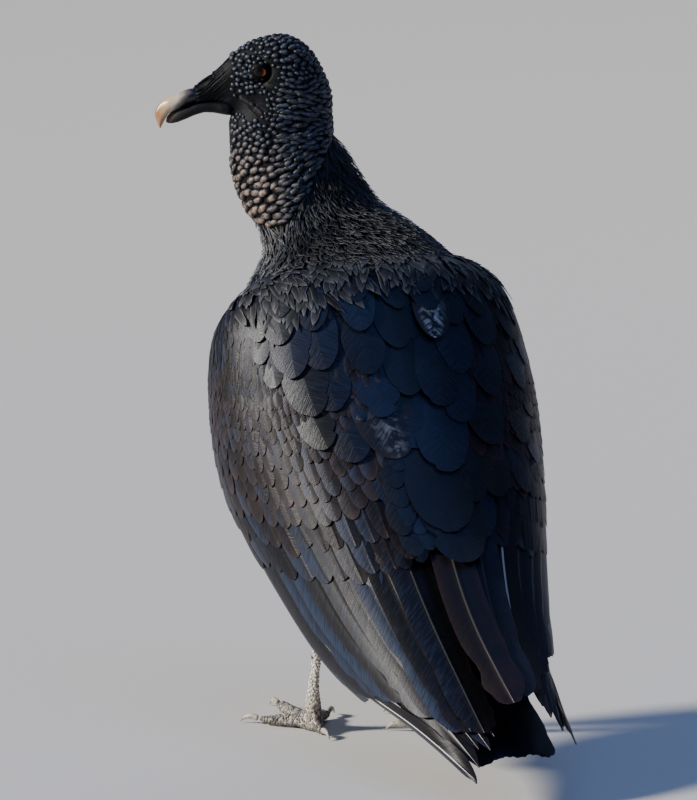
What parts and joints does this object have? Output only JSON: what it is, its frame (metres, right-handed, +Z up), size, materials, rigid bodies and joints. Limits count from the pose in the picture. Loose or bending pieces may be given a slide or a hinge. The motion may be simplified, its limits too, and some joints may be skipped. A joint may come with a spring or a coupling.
{
  "type": "black vulture",
  "caption": "Black vulture standing with folded wings and looking over its left shoulder, with a bare wrinkled head, a hooked bill and blue-black plumage.",
  "frame": {"origin": "middle of the standing area, under the middle of the whole bird's box, with the soles at Z = 0", "axes": "+Z up; the bird faces -Y with its tail towards +Y; +X is towards its left side"},
  "size_m": [0.2354, 0.4112, 0.4839],
  "materials": {
    "plumage": "overlapping blue-black vanes with a soft sheen and worn brown edges",
    "bare_skin": "slate-black bare skin in folds and small round nodules",
    "horn": "ivory horn with a warmer tan tip, satin",
    "dark_horn": "dark horn with a paler edge, satin",
    "eye": "wet glossy eyeball with a dark brown iris",
    "scaled_leg": "matte scaled skin, chalky pale on the shank and grey on the toes",
    "claw": "smooth dark horn, satin"
  },
  "bodies": {
    "root": {"trunk": "plumage", "head": "bare_skin", "upper_bill": "horn", "lower_bill": "dark_horn", "left_eye": "eye", "right_eye": "eye", "neck": "bare_skin", "left_wing": "plumage", "right_wing": "plumage", "left_primaries": "plumage", "right_primaries": "plumage", "tail": "plumage", "left_thigh": "plumage", "left_tarsus": "scaled_leg", "left_middle_toe": "scaled_leg", "left_middle_claw": "claw", "left_inner_toe": "scaled_leg", "left_inner_claw": "claw", "left_outer_toe": "scaled_leg", "left_outer_claw": "claw", "left_hind_toe": "scaled_leg", "left_hind_claw": "claw", "right_thigh": "plumage", "right_tarsus": "scaled_leg", "right_middle_toe": "scaled_leg", "right_middle_claw": "claw", "right_inner_toe": "scaled_leg", "right_inner_claw": "claw", "right_outer_toe": "scaled_leg", "right_outer_claw": "claw", "right_hind_toe": "scaled_leg", "right_hind_claw": "claw"}
  },
  "joints": []
}
